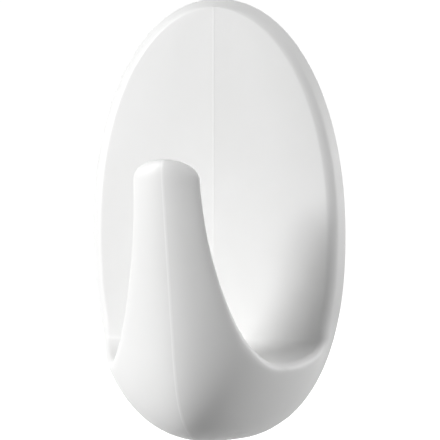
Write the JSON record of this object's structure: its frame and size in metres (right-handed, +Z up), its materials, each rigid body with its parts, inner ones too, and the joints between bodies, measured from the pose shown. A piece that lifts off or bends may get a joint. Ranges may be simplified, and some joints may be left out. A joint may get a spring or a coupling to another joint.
{
  "type": "adhesive wall hook",
  "caption": "Oval moulded wall hook with an upright prong; its cover slides on a base plate that a stretch-release adhesive strip holds to the wall.",
  "frame": {"origin": "middle of the adhesive strip's face on the wall", "axes": "+Z up, +Y into the wall, so the prong stands out along -Y; +X to the right of a person facing the wall"},
  "size_m": [0.04, 0.0254, 0.0655],
  "materials": {
    "cover_plastic": "satin white moulding with a faint texture",
    "plate_plastic": "plain white moulding",
    "foam": "closed-cell foam",
    "adhesive": "tacky and slightly glossy",
    "film": "embossed film"
  },
  "bodies": {
    "wall_mount": {"base_plate": "plate_plastic", "foam_core": "foam", "plate_side_adhesive": "adhesive", "wall_side_adhesive": "adhesive"},
    "hook": {"hook_shell": "cover_plastic"},
    "pull_tab": {"tab_core": "foam", "tab_film_front": "film", "tab_film_rear": "film"}
  },
  "joints": [
    {"name": "hook_slide", "type": "slide", "parent": "wall_mount", "child": "hook", "axis": [0, 0, 1], "range_m": [0, 0.0085]},
    {"name": "tab_flex", "type": "hinge", "parent": "wall_mount", "child": "pull_tab", "pos_m": [0, -0.00068, -0.02], "axis": [-1, 0, 0], "range_deg": [0, 4], "stiffness_Nm_per_rad": 0.0003}
  ]
}
